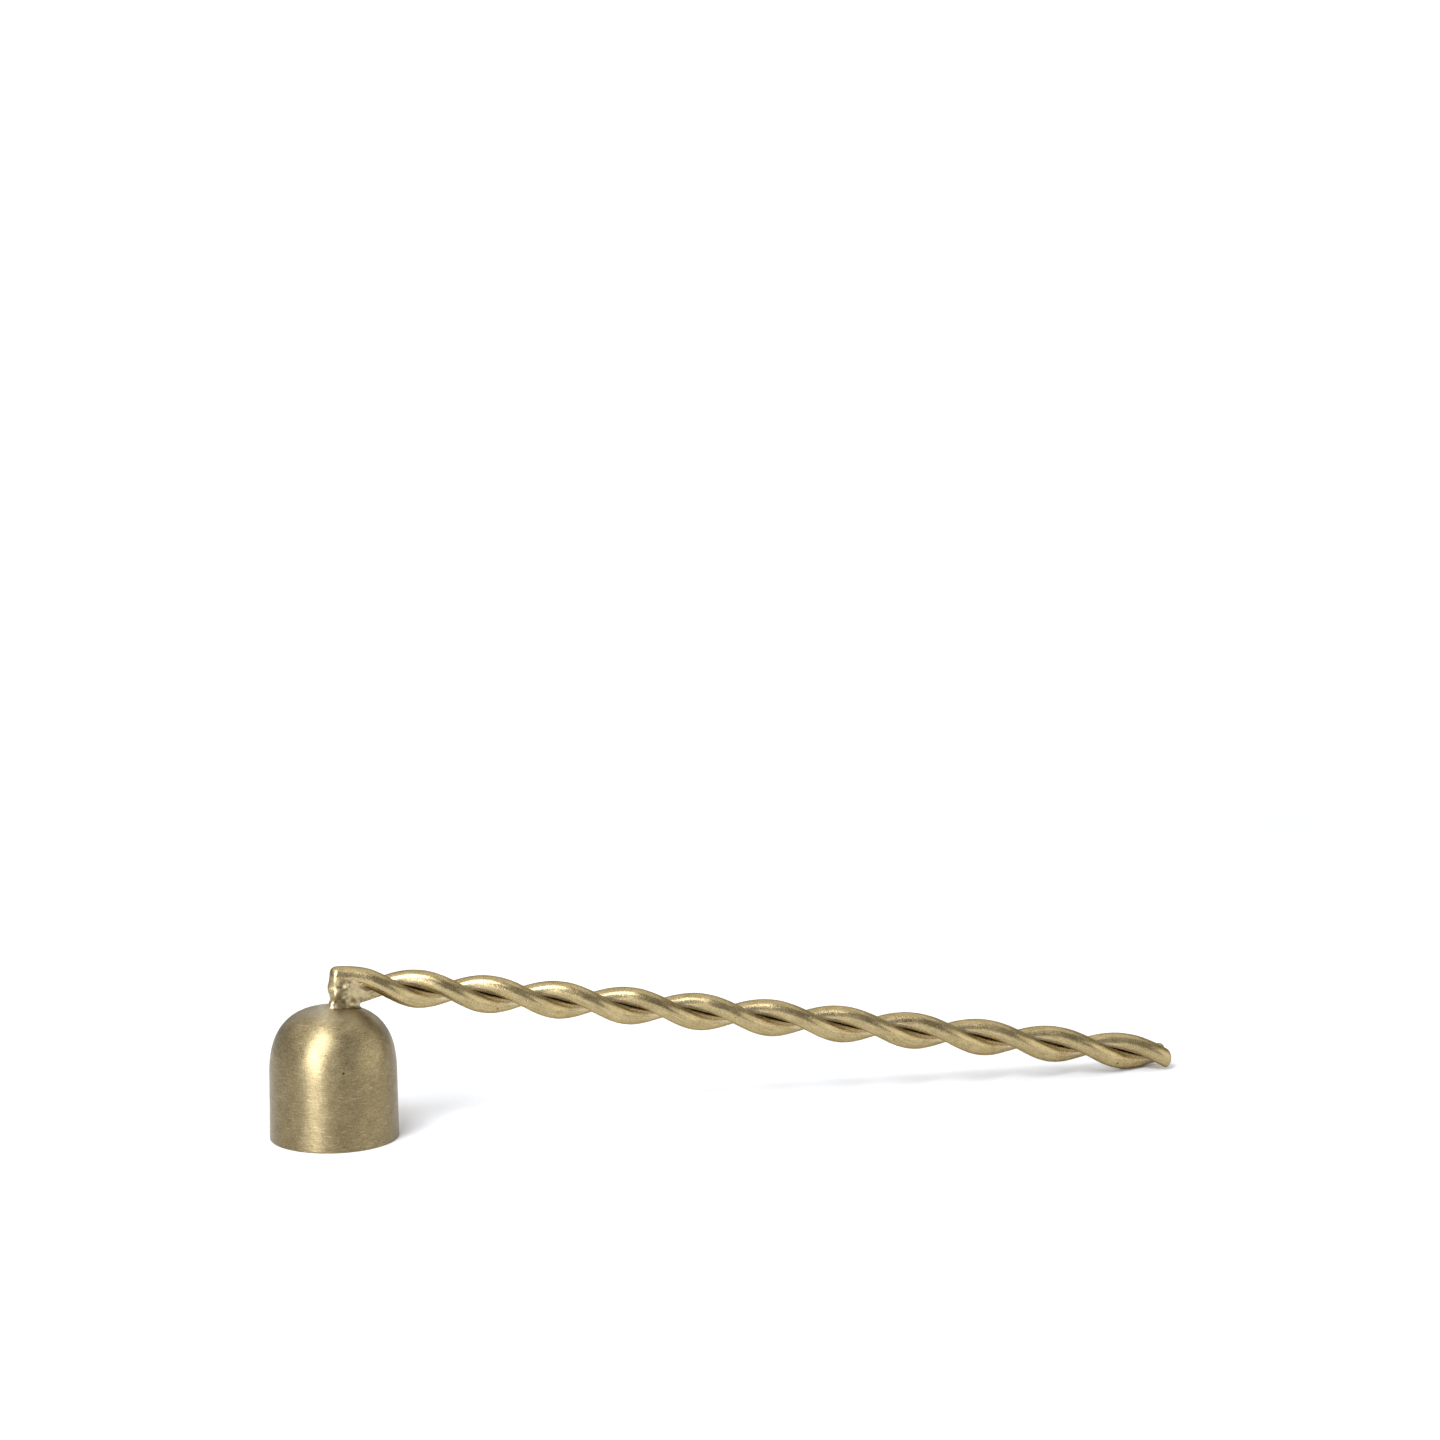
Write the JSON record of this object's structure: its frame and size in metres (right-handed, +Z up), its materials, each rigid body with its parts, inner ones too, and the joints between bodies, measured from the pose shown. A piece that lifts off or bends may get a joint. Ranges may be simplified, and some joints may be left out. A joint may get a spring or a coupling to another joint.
{
  "type": "candle snuffer",
  "caption": "Brass candle snuffer: a round-topped bell, open underneath, with a long sloping handle of rods twisted together and brazed to its crown.",
  "frame": {"origin": "bottom centre of the whole object's box, on the surface that the bell's rim and the handle's low end rest on", "axes": "+X along the handle from the bell to the tip, +Y across, +Z up along the bell's axis"},
  "size_m": [0.204, 0.0268, 0.0365],
  "materials": {
    "bell_brass": "satin brushed round the bell, lightly aged",
    "rod_brass": "satin, fine grain, darker in the grooves",
    "braze_filler": "dull, slightly pitted and paler than the brass"
  },
  "bodies": {
    "root": {"snuffer_bell": "bell_brass", "handle_rod_upper": "rod_brass", "handle_rod_lower": "rod_brass", "crown_braze": "braze_filler"}
  },
  "joints": []
}
